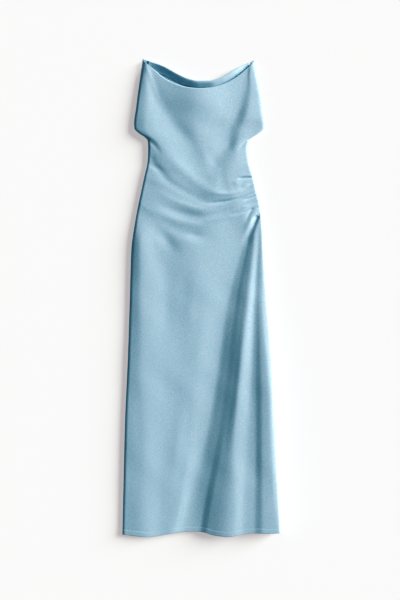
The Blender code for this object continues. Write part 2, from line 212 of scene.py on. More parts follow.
# The crests and valleys of the chest, and of the skirt below it.
CHEST_LEVELS = (710.0, 640.0, 594.0, 534.0, 498.0, 454.0, 409.0, 364.0, 230.0)
CHEST = (
    CrossLine(
        "left_edge",
        (-174.0, -185.0, -191.0, -198.0, -198.0, -159.0, -160.0, -170.0, -196.0),
        (8.0, 13.0, 14.5, 15.5, 15.5, 14.0, 14.0, 14.0, 14.0),
    ),
    CrossLine(
        "left_crest",
        (-160.0, -163.0, -162.0, -164.0, -164.0, -125.0, -106.0, -72.0, -130.0),
        (11.7, 16.3, 17.5, 18.7, 18.8, 17.5, 17.2, 17.0, 15.6),
    ),
    CrossLine(
        "left_valley",
        (-140.0, -145.0, -138.0, -98.0, -76.0, -35.0, -14.0, 10.0, -60.0),
        (11.7, 15.2, 15.6, 15.2, 14.6, 14.4, 14.7, 15.9, 16.7),
    ),
    CrossLine(
        "middle_crest",
        (-10.0, -15.0, -20.0, -18.0, -20.0, -5.0, 14.0, 45.0, 10.0),
        (18.7, 22.6, 24.1, 19.3, 17.4, 15.2, 15.2, 16.6, 17.9),
    ),
    CrossLine(
        "right_valley",
        (138.0, 134.0, 122.0, 100.0, 82.0, 79.0, 45.0, 60.0, 80.0),
        (10.9, 12.4, 12.8, 12.4, 10.8, 11.2, 13.4, 16.2, 16.7),
    ),
    CrossLine(
        "right_crest",
        (146.0, 146.0, 145.0, 133.0, 120.0, 106.0, 94.0, 80.0, 120.0),
        (11.3, 14.0, 14.4, 16.3, 13.8, 14.2, 15.8, 16.8, 17.1),
    ),
    CrossLine(
        "right_edge",
        (158.0, 171.0, 177.0, 184.0, 183.0, 139.0, 141.0, 153.0, 180.0),
        (10.2, 12.2, 13.0, 13.5, 12.0, 12.0, 13.0, 14.0, 14.0),
    ),
)

SKIRT_LEVELS = (165.0, -8.0, -276.0, -455.0, -604.0, -700.0)
SKIRT = (
    CrossLine(
        "left_edge",
        (-209.0, -213.0, -223.0, -229.0, -232.5, -235.0),
        (13.0, 13.0, 13.0, 13.0, 13.0, 13.0),
    ),
    CrossLine(
        "left_crest",
        (-178.0, -176.0, -174.0, -168.0, -168.0, -168.0),
        (18.5, 17.8, 17.2, 16.8, 16.8, 16.8),
    ),
    CrossLine(
        "left_valley",
        (-138.0, -100.0, -104.0, -112.0, -118.0, -124.0),
        (16.5, 15.2, 15.4, 15.4, 15.6, 15.6),
    ),
    CrossLine(
        "middle_crest",
        (-30.0, -4.0, -30.0, -46.0, -66.0, -92.0),
        (18.5, 16.5, 16.0, 16.0, 16.2, 16.4),
    ),
    CrossLine(
        "main_valley",
        (124.0, 76.0, 36.0, 2.0, -32.0, -52.0),
        (13.5, 12.8, 13.2, 13.4, 13.6, 13.8),
    ),
    CrossLine(
        "main_low",
        (137.0, 100.0, 64.0, 36.0, 8.0, -7.0),
        (14.6, 16.2, 18.0, 18.4, 16.8, 16.4),
    ),
    CrossLine(
        "main_high",
        (146.0, 118.0, 90.0, 62.0, 32.0, 17.0),
        (16.8, 21.0, 25.0, 25.3, 23.2, 22.6),
    ),
    CrossLine(
        "main_crest",
        (157.0, 137.5, 111.0, 97.0, 97.0, 95.0),
        (18.5, 24.5, 30.0, 31.0, 32.0, 32.0),
    ),
    CrossLine(
        "side_valley",
        (169.0, 158.0, 144.0, 136.0, 128.0, 124.0),
        (17.5, 21.2, 27.6, 29.0, 30.0, 30.4),
    ),
    CrossLine(
        "side_low",
        (172.0, 163.5, 157.0, 157.0, 155.0, 154.0),
        (17.6, 21.6, 28.8, 30.0, 30.8, 31.1),
    ),
    CrossLine(
        "side_high",
        (175.0, 171.0, 179.0, 180.0, 182.0, 182.0),
        (17.9, 22.6, 33.8, 34.6, 34.9, 34.6),
    ),
    CrossLine(
        "side_crest",
        (178.0, 178.0, 198.0, 204.0, 214.0, 225.0),
        (18.0, 23.0, 35.2, 36.0, 36.0, 35.4),
    ),
    CrossLine(
        "right_edge",
        (186.0, 194.5, 212.0, 220.5, 229.0, 235.0),
        (15.0, 20.0, 32.0, 33.5, 34.2, 34.6),
    ),
)

# The large folds that the solids have too, some of them a little shallower here.
MAIN_FOLDS = (
    Fold(
        "left_cowl_valley",
        ((-159, 677), (-136, 624), (-106, 558), (-73, 507), (-46, 481), (-19, 457)),
        -0.6, (8, 17, 18), 0.0, (0.2, 0.4),
    ),
    Fold(
        "right_cowl_valley",
        ((139, 659), (118, 597), (97, 534), (73, 463), (46, 391), (28, 349)),
        -0.3, (9, 20, 20), 0.0, (0.2, 0.35),
    ),
    Fold(
        "right_shoulder_ridge",
        ((153, 647), (145, 594), (133, 534), (115, 469), (103, 409), (94, 361)),
        0.5, (9, 18, 20), 0.0, (0.3, 0.35),
    ),
    Fold(
        "upper_ridge",
        ((-124, 466), (-115, 445), (-64, 384), (1, 329), (58, 302), (97, 299), (136, 308), (180, 327)),
        1.7, (20, 16, 7), 0.0, (0.4, 0.0),
    ),
    Fold(
        "underarm_trough",
        ((-159, 424), (-112, 358), (-67, 323), (1, 287), (31, 279), (70, 281), (130, 295), (180, 309)),
        -1.2, (10, 13, 6), 0.0, (0.05, 0.0),
    ),
    Fold(
        "upper_swag",
        ((-153, 329), (-91, 290), (-16, 263), (25, 261), (77, 270), (115, 282), (182, 304)),
        1.7, (13, 10, 6), 0.2, (0.3, 0.0),
    ),
    Fold(
        "upper_swag_trough",
        ((-142, 287), (-91, 259), (-13, 238), (25, 239), (76, 254), (182, 291)),
        -1.2, (12, 10, 6), 0.0, (0.3, 0.0),
    ),
    Fold(
        "lower_swag",
        ((-153, 269), (-91, 235), (-13, 214), (25, 217), (100, 244), (184, 276)),
        1.4, (13, 10, 7), 0.2, (0.3, 0.0),
    ),
    Fold(
        "lower_swag_trough",
        ((-136, 236), (-74, 200), (1, 177), (40, 186)),
        -1.1, (13, 15, 14), 0.0, (0.35, 0.4),
    ),
    Fold(
        "pocket_valley",
        ((166, 244), (153, 214), (142, 184), (130, 144)),
        -3.6, (6, 9, 12), 0.0, (0.1, 0.5),
    ),
    Fold(
        "pocket_rim",
        ((168, 266), (150, 238), (134, 206), (112, 150)),
        0.9, (6, 9, 14), 0.0, (0.1, 0.5),
    ),
    Fold("top_tuck", ((106, 351), (132, 353), (166, 354)), -1.5, (6, 5, 5), 0.0, (0.4, 0.0)),
)

# Finer creases of the front: tight ones at the gathers, slight ones elsewhere.
FINE_FOLDS = (
    Fold(
        "tuck_line",
        ((106, 351), (132, 354.5), (164, 354)),
        -1.5, (1.6, 2.0, 1.8), 0.0, (0.3, 0.0),
    ),
    Fold("tuck_lip", ((104, 358), (132, 361), (164, 361)), 0.7, (3, 4.5, 3), 0.0, (0.3, 0.0)),
    Fold(
        "swag_cleft",
        ((-10, 281), (30, 280), (77, 285), (115, 294), (140, 303), (176, 316)),
        -2.2, (3.5, 3.4, 2.6), 0.0, (0.4, 0.0),
    ),
    Fold(
        "swag_rib",
        ((-10, 271), (40, 270), (90, 281), (130, 294), (174, 310)),
        2.0, (4.5, 4.5, 3.5), 0.0, (0.4, 0.0),
    ),
    Fold(
        "low_rib",
        ((-5, 221), (50, 231), (100, 248), (150, 274)),
        1.7, (6, 6, 4), 0.0, (0.4, 0.2),
    ),
    Fold(
        "top_rib",
        ((20, 312), (70, 306), (120, 314), (170, 334)),
        1.8, (6, 5, 3.5), 0.0, (0.4, 0.0),
    ),
    Fold(
        "gather_crease_a",
        ((116, 316), (142, 327), (172, 339)),
        -2.0, (3, 3, 2.5), 0.0, (0.4, 0.0),
    ),
    Fold(
        "gather_crease_b",
        ((122, 285), (148, 295), (178, 305)),
        -2.4, (3, 3, 2.4), 0.0, (0.4, 0.0),
    ),
    Fold("gather_rib_b", ((118, 291), (145, 301), (174, 311)), 1.6, (3, 3.5, 3), 0.0, (0.4, 0.0)),
    Fold(
        "gather_crease_c",
        ((134, 331), (150, 338), (170, 346)),
        -1.6, (2.5, 3, 2.4), 0.0, (0.4, 0.0),
    ),
    Fold(
        "gather_crease_d",
        ((124, 267), (152, 278), (182, 287)),
        -2.0, (3, 3, 2.4), 0.0, (0.4, 0.0),
    ),
    Fold("gather_rib_d", ((118, 262), (150, 271), (182, 278)), 1.8, (3.5, 4, 3), 0.0, (0.4, 0.0)),
    Fold(
        "gather_crease_e",
        ((80, 240), (130, 254), (178, 268)),
        -2.0, (4, 3.5, 2.5), 0.0, (0.4, 0.0),
    ),
    Fold(
        "wedge_crease",
        ((152, 266), (141, 246), (128, 220)),
        -1.3, (3.5, 4.5, 5), 0.0, (0.2, 0.5),
    ),
    Fold("pocket_crease", ((172, 247), (160, 222), (150, 192)), -1.2, (3, 4, 6), 0.0, (0.0, 0.5)),
    Fold("pocket_lip", ((166, 256), (146, 226), (130, 186)), 0.6, (3.5, 4.5, 6), 0.0, (0.2, 0.5)),
    Fold(
        "underarm_left_a",
        ((-166, 474), (-140, 452), (-116, 420)),
        -1.2, (4, 6, 8), 0.0, (0.0, 0.5),
    ),
    Fold(
        "underarm_right_a",
        ((146, 474), (125, 455), (106, 428)),
        -1.2, (3, 5, 7), 0.0, (0.0, 0.5),
    ),
    Fold("waist_left_a", ((-166, 402), (-128, 380), (-92, 364)), -0.9, (5, 8, 9), 0.0, (0.0, 0.5)),
    Fold(
        "neck_drag_left",
        ((-166, 690), (-148, 642), (-132, 590)),
        0.8, (4, 7, 9), 0.0, (0.2, 0.5),
    ),
    Fold("neck_drag_right", ((151, 692), (135, 640), (122, 590)), 0.4, (4, 7, 9), 0.0, (0.2, 0.5)),
    Fold("right_streak", ((212, -280), (218, -440), (224, -640)), -0.8, (5, 7, 7)),
)

# Broad, hardly seen unevenness of the smoothed-out cloth.
SWELLS = (
    Swell("tuck_puff", 104.0, 338.0, 1.1, 10.0, 7.0, 0.0),
    Swell("tuck_corner", 119.0, 325.0, -0.8, 7.0, 4.0, 20.0),
    Swell("soft_dent", -22.0, 185.0, -1.4, 20.0, 9.0, 0.0),
    Swell("left_hip", -106.0, 172.0, -2.0, 42.0, 18.0, -50.0),
    Swell("hip_front", -44.0, 166.0, 1.6, 44.0, 26.0, 8.0),
    Swell("chest_low", 34.0, 388.0, -1.2, 34.0, 16.0, -70.0),
    Swell("waist_left", -136.0, 344.0, 0.9, 30.0, 14.0, -24.0),
    Swell("left_side", -158.0, 262.0, 0.8, 34.0, 14.0, -30.0),
    Swell("thigh_left", -102.0, 10.0, -0.8, 90.0, 22.0, 92.0),
    Swell("thigh_middle", -30.0, -20.0, 0.8, 90.0, 22.0, 84.0),
    Swell("knee_left", -187.0, -380.0, -0.6, 110.0, 18.0, 90.0),
    Swell("calf_middle", -70.0, -430.0, 0.9, 120.0, 20.0, 82.0),
)

# The back lies under the dress: soft drag lines towards the gathers, and a few long ripples.
BACK_FOLDS = (
    Fold("back_gather_a", ((166, 322), (120, 318), (60, 330)), 1.3, (3, 6, 9)),
    Fold("back_gather_b", ((172, 290), (118, 280), (40, 288)), 1.6, (3, 7, 10)),
    Fold("back_gather_c", ((177, 262), (126, 244), (50, 236)), 1.2, (3, 7, 11)),
    Fold("back_gather_d", ((180, 240), (140, 204), (84, 170)), 1.4, (4, 8, 12)),
    Fold("back_waist_left", ((-158, 400), (-104, 384), (-30, 390)), 1.0, (5, 9, 10)),
    Fold("back_underarm_left", ((-156, 452), (-120, 470), (-80, 500)), 1.2, (4, 8, 10)),
    Fold("back_underarm_right", ((136, 450), (100, 468), (66, 496)), 1.0, (4, 8, 10)),
    Fold("back_shoulder_left", ((-150, 660), (-120, 590), (-86, 520)), 1.1, (6, 10, 12)),
    Fold("back_shoulder_right", ((138, 656), (110, 588), (78, 522)), 1.3, (6, 10, 12)),
    Fold("back_ripple_left", ((-120, 60), (-126, -200), (-134, -520)), 1.6, (9, 15, 17)),
    Fold("back_ripple_middle", ((10, -60), (0, -300), (-14, -640)), 2.0, (10, 14, 18)),
    Fold("back_ripple_right", ((120, 120), (126, -160), (138, -600)), 1.8, (8, 15, 18)),
)

# The rows of the cloth grids, closer together at the gathers and hems.
FRONT_ROWS = (
    RowRun(710.0, 690.0, 10),
    RowRun(690.0, 515.0, 40),
    RowRun(515.0, 464.0, 18),
    RowRun(464.0, 366.0, 26),
    RowRun(366.0, 218.0, 64),
    RowRun(218.0, 120.0, 26),
    RowRun(120.0, -676.0, 96),
    RowRun(-676.0, -700.0, 16),
)
BACK_ROWS = (
    RowRun(710.0, 660.0, 20),
    RowRun(660.0, 515.0, 20),
    RowRun(515.0, 464.0, 16),
    RowRun(464.0, 180.0, 44),
    RowRun(180.0, -668.0, 60),
    RowRun(-668.0, -692.0, 10),
)


def eased(share: Array | float) -> Array:
    """A share from 0 to 1 that leaves and arrives gently."""
    share = np.clip(share, 0.0, 1.0)
    return share * share * (3.0 - 2.0 * share)


def bends(slopes: Sequence[Any]) -> list[Any]:
    """The slope at each knot of a smooth curve that never overshoots, from those between them."""
    found = [slopes[0]]
    for before, after in zip(slopes, slopes[1:]):
        product = before * after
        mean = 2 * product / np.where(product > 0, before + after, 1.0)
        found.append(np.where(product > 0, mean, 0.0))
    return found + [slopes[-1]]


def blend(t: Array, width: Array, values: Sequence[Array], slopes: Sequence[Array]) -> Array:
    """A smooth curve between two knots, at shares t of the way."""
    return (
        values[0] * (1 + 2 * t) * (1 - t) ** 2
        + values[1] * t * t * (3 - 2 * t)
        + width * t * (1 - t) ** 2 * slopes[0]
        - width * t * t * (1 - t) * slopes[1]
    )


def through(places: Sequence[float], values: Sequence[float], at: Array | float) -> Array:
    """Reads a smooth curve that passes the values at the places and never overshoots them.

    Args:
        places: Where the values are given, in any order.
        values: The value at each place.
        at: Where to read the curve.

    Returns:
        The curve's value at each point of at.
    """
    order = np.argsort(places)
    x = np.asarray(places, float)[order]
    v = np.asarray(values, float)[order]
    steps = np.diff(x)
    slopes = np.array(bends(np.diff(v) / steps), float)
    at = np.clip(np.asarray(at, float), x[0], x[-1])
    cell = np.clip(np.searchsorted(x, at, side="right") - 1, 0, len(steps) - 1)
    t = (at - x[cell]) / steps[cell]
    return blend(t, steps[cell], (v[cell], v[cell + 1]), (slopes[cell], slopes[cell + 1]))


def outline(column: str, y: Array | float) -> Array:
    """Reads one column of the outline table at any level."""
    return through([s.y for s in OUTLINE], [getattr(s, column) for s in OUTLINE], y)


def neck_drop(layer: str, across: Array) -> Array:
    """How far the front's or back's neckline lies below the shoulder tips."""
    return through([p.across for p in NECKLINE], [getattr(p, layer) for p in NECKLINE], across)


def hem_drop(across: Array) -> Array:
    """How far the front's wavy hem hangs below the hem station."""
    return through([p.across for p in HEM_WAVE], [p.drop for p in HEM_WAVE], across)


def sag_share(level: float) -> float:
    """The share of the necklines' drop that a level follows."""
    return max(0.0, (level - SAG_ENDS) / (OUTLINE[0].y - SAG_ENDS))


def levels(runs: Sequence[RowRun]) -> list[float]:
    """The heights of all rows, from the neck down."""
    found = [runs[0].start]
    for run in runs:
        found += [run.start + (run.end - run.start) * i / run.steps for i in range(1, run.steps + 1)]
    return found


def grid_normals(grid: Array) -> Array:
    """The unit normal at each point of a grid of rows, upwards on a flat cloth."""
    normals = np.cross(np.gradient(grid, axis=0), np.gradient(grid, axis=1))
    return normals / np.maximum(np.linalg.norm(normals, axis=2, keepdims=True), TINY)


@dataclass(frozen=True)
class Drape:
    """The heights of the front, from the broad chest and skirt folds to the fine creases.

    The waves and drifts are the lengths of the knit's slight unevenness.
    """

    bodice_ends: float = 250.0
    skirt_starts: float = 150.0
    fold_steps: int = 12
    shortest_fade: float = 0.02
    flutter: float = 0.35
    waves: tuple[float, float, float] = (31.0, 47.0, 19.0)
    drifts: tuple[float, float, float] = (83.0, 59.0, 41.0)
    drift_sizes: tuple[float, float] = (0.7, 1.3)
    slant: float = 0.6
    small_wave: float = 0.6

    def section(self, at: Sequence[float], lines: Sequence[CrossLine], x: Array, y: Array) -> Array:
        """The plain height of the front, which passes smoothly from crest to valley and back."""
        across = [through(at, line.across, y) for line in lines]
        height = [through(at, line.height, y) for line in lines]
        steps = [after - before for before, after in zip(across, across[1:])]
        slopes = bends([(high - low) / step for low, high, step in zip(height, height[1:], steps)])
        z = np.where(x < across[0], height[0], height[-1])
        for i, step in enumerate(steps):
            t = (x - across[i]) / step
            between = blend(t, step, height[i : i + 2], slopes[i : i + 2])
            z = np.where((t >= 0) & (t <= 1), between, z)
        return z

    def line(self, points: Sequence[tuple[float, float]]) -> Array:
        """A smooth line through a fold's points."""
        ends = [np.array(p, float) for p in (points[0], *points, points[-1])]
        found = []
        for a, b, c, d in zip(ends, ends[1:], ends[2:], ends[3:]):
            for step in range(self.fold_steps):
                t = step / self.fold_steps
                square = (2 * a - 5 * b + 4 * c - d) * t**2
                cube = (3 * b - a - 3 * c + d) * t**3
                found.append(0.5 * (2 * b + (c - a) * t + square + cube))
        found.append(ends[-1])
        return np.array(found)

    def fold(self, fold: Fold, x: Array, y: Array) -> Array:
        """How much one fold adds to the height at each point."""
        line = self.line(fold.points)
        nearest = np.full(x.shape, np.inf)
        along = np.zeros(x.shape)
        side = np.ones(x.shape)
        for i, (start, end) in enumerate(zip(line, line[1:])):
            run = end - start
            dx, dy = x - start[0], y - start[1]
            t = np.clip((dx * run[0] + dy * run[1]) / max(run @ run, TINY), 0.0, 1.0)
            away = np.hypot(dx - t * run[0], dy - t * run[1])
            closer = away < nearest
            nearest = np.where(closer, away, nearest)
            along = np.where(closer, (i + t) / (len(line) - 1), along)
            side = np.where(closer, np.sign(run[0] * dy - run[1] * dx), side)
        width = through((0.0, 0.5, 1.0), fold.widths, along) * (1 - fold.lean * side)
        fade_in, fade_out = (max(share, self.shortest_fade) for share in fold.fades)
        fade = eased(along / fade_in) * eased((1 - along) / fade_out)
        return fold.rise * fade * np.exp(-((nearest / width) ** 2))

    def swell(self, swell: Swell, x: Array, y: Array) -> Array:
        """How much one broad swell adds to the height at each point."""
        turn = math.radians(swell.turn)
        along = (x - swell.x) * math.cos(turn) + (y - swell.y) * math.sin(turn)
        aside = (y - swell.y) * math.cos(turn) - (x - swell.x) * math.sin(turn)
        return swell.rise * np.exp(-((along / swell.length) ** 2) - (aside / swell.width) ** 2)

    def front(self, x: Array, y: Array) -> Array:
        """The height of the front's outer face, away from its edges."""
        skirt = eased((self.bodice_ends - y) / (self.bodice_ends - self.skirt_starts))
        z = self.section(CHEST_LEVELS, CHEST, x, y) * (1 - skirt)
        z = z + self.section(SKIRT_LEVELS, SKIRT, x, y) * skirt
        for fold in MAIN_FOLDS + FINE_FOLDS:
            z = z + self.fold(fold, x, y)
        for swell in SWELLS:
            z = z + self.swell(swell, x, y)
        return z + self.ripple(x, y)

    def back(self, x: Array, y: Array) -> Array:
        """How far the back's underside lifts off the surface in its slight folds."""
        z = np.zeros(x.shape)
        for fold in BACK_FOLDS:
            z = z + self.fold(fold, x, y)
        return z

    def ripple(self, x: Array, y: Array) -> Array:
        """The slight unevenness of soft knit that has been smoothed out by hand."""
        wide, tall, small = self.waves
        drift_y, drift_x, drift_small = self.drifts
        first, second = self.drift_sizes
        wave = (
            np.sin(x / wide + first * np.sin(y / drift_y))
            + np.sin(y / tall + second * np.sin(x / drift_x + 1.0))
            + self.small_wave * np.sin((x + self.slant * y) / small + np.sin(y / drift_small))
        )
        return self.flutter * wave


@dataclass(frozen=True)
class Mesher:
    """Makes mesh objects from grids of points in millimetres.

    A rod's profile is its size at shares of its length, and its arch lifts its middle.
    """

    rod_sides: int = 6
    rod_arch: float = 0.6
    rod_profile: Curve = ((0.0, 0.25), (0.12, 0.85), (0.5, 1.0), (0.88, 0.85), (1.0, 0.25))

    def panel(
        self, name: str, rows: Array, thickness: float, inwards: bool, finish: bpy.types.Material
    ) -> bpy.types.Object:
        """Makes a cloth piece from a grid of points.

        Args:
            name: The piece's name.
            rows: Rows of points, each from -X to +X, from the neck down.
            thickness: The cloth's thickness.
            inwards: Whether the wall grows away from the grid's upper side.
            finish: The cloth's material.

        Returns:
            The new object, with its wall.
        """
        count, width = rows.shape[:2]
        index = np.arange(count * width).reshape(count, width)
        faces = np.stack([index[1:, :-1], index[1:, 1:], index[:-1, 1:], index[:-1, :-1]], axis=-1)
        mesh = bpy.data.meshes.new(name)
        mesh.from_pydata((rows.reshape(-1, 3) * MM).tolist(), [], faces.reshape(-1, 4).tolist())
        mesh.shade_smooth()
        piece = bpy.data.objects.new(name, mesh)
        bpy.context.scene.collection.objects.link(piece)
        mesh.materials.append(finish)
        wall = piece.modifiers.new("wall", "SOLIDIFY")
        wall.thickness = thickness * MM
        wall.offset = -1.0 if inwards else 1.0
        return piece

    def rods(
        self, name: str, runs: Sequence[tuple[Array, Array]], radius: float, finish: bpy.types.Material
    ) -> bpy.types.Object:
        """Makes short rounded rods, such as stitches, as one mesh.

        Args:
            name: The piece's name.
            runs: The start and end point of each rod.
            radius: Each rod's radius.
            finish: The thread's material.

        Returns:
            The new object.
        """
        sides, profile = self.rod_sides, self.rod_profile
        points: list[Array] = []
        faces: list[tuple[int, ...]] = []
        for start, end in runs:
            run = end - start
            run = run / np.linalg.norm(run)
            across = np.cross(run, (0.0, 0.0, 1.0))
            across = across / max(np.linalg.norm(across), TINY)
            up = np.cross(across, run)
            base = len(points)
            for share, size in profile:
                arch = radius * self.rod_arch * math.sin(math.pi * share)
                middle = start + (end - start) * share + up * arch
                for side in range(sides):
                    turn = 2 * math.pi * side / sides
                    spoke = across * math.cos(turn) + up * math.sin(turn)
                    points.append(middle + radius * size * spoke)
            for ring in range(len(profile) - 1):
                for side in range(sides):
                    a = base + ring * sides + side
                    b = base + ring * sides + (side + 1) % sides
                    faces.append((a, a + sides, b + sides, b))
            far_end = base + (len(profile) - 1) * sides
            faces.append(tuple(base + side for side in range(sides)))
            faces.append(tuple(far_end + side for side in reversed(range(sides))))
        mesh = bpy.data.meshes.new(name)
        mesh.from_pydata((np.array(points) * MM).tolist(), [], faces)
        mesh.shade_smooth()
        mesh.materials.append(finish)
        piece = bpy.data.objects.new(name, mesh)
        bpy.context.scene.collection.objects.link(piece)
        return piece


class Socket:
    """A shader socket that takes part in plain arithmetic."""

    def __init__(self, shade: "Shade", link: bpy.types.NodeSocket) -> None:
        """Keeps the shader that the socket belongs to."""
        self.shade = shade
        self.link = link

    def _math(self, operation: str, *values: Any) -> "Socket":
        """Adds one Math node."""
        return self.shade.node("ShaderNodeMath", {"operation": operation}, dict(enumerate(values)))

    def __add__(self, other: Any) -> "Socket":
        """Adds a value."""
        return self._math("ADD", self, other)

    def __sub__(self, other: Any) -> "Socket":
        """Takes a value away."""
        return self._math("SUBTRACT", self, other)

    def __rsub__(self, other: Any) -> "Socket":
        """Takes this socket away from a value."""
        return self._math("SUBTRACT", other, self)

    def __mul__(self, other: Any) -> "Socket":
        """Multiplies by a value."""
        return self._math("MULTIPLY", self, other)

    def above(self, low: float, high: float) -> "Socket":
        """A soft step from 0 to 1 as the value goes from low to high."""
        settings = {"interpolation_type": "SMOOTHSTEP"}
        values = {"Value": self, "From Min": low, "From Max": high, "To Min": 0.0, "To Max": 1.0}
        return self.shade.node("ShaderNodeMapRange", settings, values, "Result")


class Shade:
    """Builds one material's nodes."""

    def __init__(self, name: str) -> None:
        """Makes an empty material with one Principled shader."""
        self.material = bpy.data.materials.new(name)
        self.material.use_nodes = True
        self.tree = self.material.node_tree
        self.shader = self.tree.nodes["Principled BSDF"]

    def node(
        self, kind: str, settings: dict[str, Any], values: dict[Any, Any], output: Any = 0
    ) -> Socket:
        """Adds any node.

        Args:
            kind: The node's type.
            settings: Its own settings, which are set first.
            values: A number, colour or socket for each named or numbered input.
            output: The name or number of the output to use.

        Returns:
            The chosen output as a socket.
        """
        made = self.tree.nodes.new(kind)
        for key, value in settings.items():
            setattr(made, key, value)
        for key, value in values.items():
            self.feed(made.inputs[key], value)
        return Socket(self, made.outputs[output])

    def feed(self, target: bpy.types.NodeSocket, value: Any) -> None:
        """Links or sets one input."""
        if isinstance(value, Socket):
            self.tree.links.new(value.link, target)
        else:
            target.default_value = value

    def place(self) -> Socket:
        """The place on the object, in metres."""
        return self.node("ShaderNodeTexCoord", {}, {}, "Object")

    def scaled(self, vector: Socket, scale: tuple[float, float, float]) -> Socket:
        """A vector stretched along each axis."""
        values = {0: vector, 1: scale}
        return self.node("ShaderNodeVectorMath", {"operation": "MULTIPLY"}, values, "Vector")

    def noise(self, vector: Socket, detail: float) -> Socket:
        """Smooth noise from 0 to 1."""
        values = {"Vector": vector, "Scale": 1.0, "Detail": detail}
        return self.node("ShaderNodeTexNoise", {}, values, "Fac")

    def mix(self, share: Any, low: Any, high: Any) -> Socket:
        """A colour between two colours."""
        settings = {"data_type": "RGBA", "blend_type": "MIX"}
        return self.node("ShaderNodeMix", settings, {0: share, 6: low, 7: high}, 2)

    def bump(self, height: Socket, distance: float, strength: float) -> Socket:
        """A normal that shows fine relief."""
        values = {"Height": height, "Distance": distance, "Strength": strength}
        return self.node("ShaderNodeBump", {}, values, "Normal")

    def set(self, values: dict[str, Any]) -> None:
        """Links or sets the shader's own inputs."""
        for key, value in values.items():
            self.feed(self.shader.inputs[key], value)


@dataclass(frozen=True)
class Grain:
    """One layer of the knit's mottling: its scale along each axis, detail, and strengths."""

    scale: tuple[float, float, float]
    detail: float
    colour: float
    relief: float = 0.0


@dataclass(frozen=True)
class Knit:
    """Pale blue crosswise-ribbed knit with a satin lustre and fine bright specks."""

    name: str
    deep: Colour = (0.245, 0.42, 0.53, 1.0)
    pale: Colour = (0.335, 0.51, 0.62, 1.0)
    lurex: Colour = (0.86, 0.92, 0.93, 1.0)
    streaks: Grain = Grain((170.0, 620.0, 300.0), 3.0, 1.5, 0.6)
    flecks: Grain = Grain((520.0, 900.0, 700.0), 1.0, 0.7, 0.5)
    clouds: Grain = Grain((14.0, 10.0, 14.0), 3.0, 0.35)
    roughness: float = 0.62
    streak_gloss: float = 0.12
    yarn_gloss: float = 0.18
    sheen: float = 0.05
    sheen_roughness: float = 0.35
    sheen_tint: Colour = (0.86, 0.95, 1.0, 1.0)
    specular: float = 0.3
    sparkle: float = 0.35
    speck_scale: float = 900.0
    speck_share: tuple[float, float] = (0.84, 0.95)
    rib_pitch: float = 1.15
    rib_waver: float = 1.2
    rib_detail: float = 2.0
    rib_relief: float = 0.5
    relief_depth: float = 0.0006
    relief_strength: float = 0.45

    def make(self) -> bpy.types.Material:
        """Builds the cloth's material."""
        shade = Shade(self.name)
        place = shade.place()
        streak, fleck, cloud = (
            shade.noise(shade.scaled(place, grain.scale), grain.detail)
            for grain in (self.streaks, self.flecks, self.clouds)
        )
        tone = (streak - 0.5) * self.streaks.colour + (fleck - 0.5) * self.flecks.colour
        tone = tone + (cloud - 0.5) * self.clouds.colour + 0.5
        colour = shade.mix(tone.above(0.0, 1.0), self.deep, self.pale)
        yarn = self.specks(shade, place) * self.sparkle
        colour = shade.mix(yarn, colour, self.lurex)
        rough = self.roughness - yarn * self.yarn_gloss + (streak - 0.5) * self.streak_gloss
        relief = self.ribs(shade, place) * self.rib_relief
        relief = relief + streak * self.streaks.relief + fleck * self.flecks.relief
        shade.set({
            "Base Color": colour,
            "Roughness": rough,
            "Metallic": yarn,
            "Normal": shade.bump(relief, self.relief_depth, self.relief_strength),
            "Sheen Weight": self.sheen,
            "Sheen Roughness": self.sheen_roughness,
            "Sheen Tint": self.sheen_tint,
            "Specular IOR Level": self.specular,
        })
        return shade.material

    def specks(self, shade: Shade, place: Socket) -> Socket:
        """Where the metallic yarn shows, in a few small cells out of many."""
        values = {"Vector": place, "Scale": self.speck_scale, "Randomness": 1.0}
        cells = shade.node("ShaderNodeTexVoronoi", {"feature": "F1"}, values, "Color")
        return shade.node("ShaderNodeSeparateColor", {}, {"Color": cells}).above(*self.speck_share)

    def ribs(self, shade: Shade, place: Socket) -> Socket:
        """The knit's crosswise ribs."""
        values = {
            "Vector": place,
            "Scale": WAVE_PERIOD / (self.rib_pitch * MM),
            "Distortion": self.rib_waver,
            "Detail": self.rib_detail,
            "Detail Scale": self.rib_detail,
        }
        settings = {"wave_type": "BANDS", "bands_direction": "Y", "wave_profile": "SIN"}
        return shade.node("ShaderNodeTexWave", settings, values, "Fac")


@dataclass(frozen=True)
class Thread:
    """Sewing thread that matches the knit."""

    name: str = "sewing_thread"
    colour: Colour = (0.24, 0.44, 0.56, 1.0)
    twist_scale: float = 900.0
    twist_depth: float = 0.0001
    twist_strength: float = 0.3
    shadow: float = 0.8
    roughness: float = 0.5

    def make(self) -> bpy.types.Material:
        """Builds the thread's material, with the twist of its plies."""
        shade = Shade(self.name)
        place = shade.place()
        twist = shade.node(
            "ShaderNodeTexWave",
            {"wave_type": "BANDS", "bands_direction": "DIAGONAL"},
            {"Vector": place, "Scale": self.twist_scale},
            "Fac",
        )
        dark = tuple(c * self.shadow for c in self.colour[:3]) + (1.0,)
        shade.set({
            "Base Color": shade.mix(twist, dark, self.colour),
            "Normal": shade.bump(twist, self.twist_depth, self.twist_strength),
            "Roughness": self.roughness,
        })
        return shade.material


